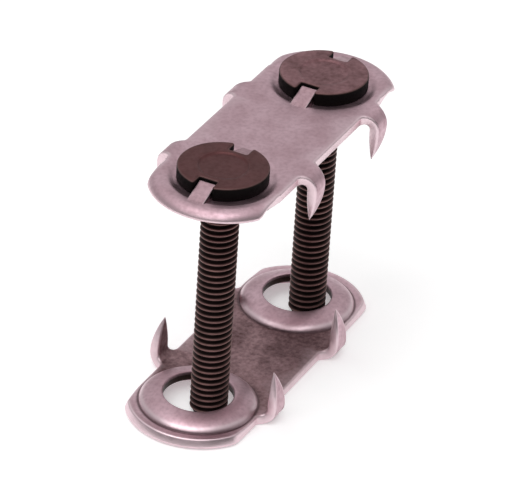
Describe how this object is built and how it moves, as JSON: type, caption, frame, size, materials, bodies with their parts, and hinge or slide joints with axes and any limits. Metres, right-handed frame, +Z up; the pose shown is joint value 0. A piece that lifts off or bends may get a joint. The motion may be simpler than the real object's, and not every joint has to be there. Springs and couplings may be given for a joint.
{
  "type": "belt fastener",
  "caption": "Pressed steel plates with facing claws on notched-head bolts; the loose plate slides up the bolts to clamp the ends of a conveyor belt.",
  "frame": {"origin": "middle of the assembly's box on the surface that it stands on, which is the lower plate's outer face", "axes": "+X along the plates from the front bolt to the rear bolt, +Y across the plates, +Z up the bolts to their heads"},
  "size_m": [0.0616, 0.0278, 0.0468],
  "materials": {
    "plate_steel": "tumbled satin steel, faintly pink, with bright worn edges",
    "bolt_steel": "black oxide with brown worn head faces"
  },
  "bodies": {
    "bolted_plate": {"upper_plate": "plate_steel", "front_bolt": "bolt_steel", "rear_bolt": "bolt_steel"},
    "loose_plate": {"lower_plate": "plate_steel"}
  },
  "joints": [
    {"name": "plate_slide", "type": "slide", "parent": "bolted_plate", "child": "loose_plate", "axis": [0, 0, 1], "range_m": [0, 0.0325]}
  ]
}
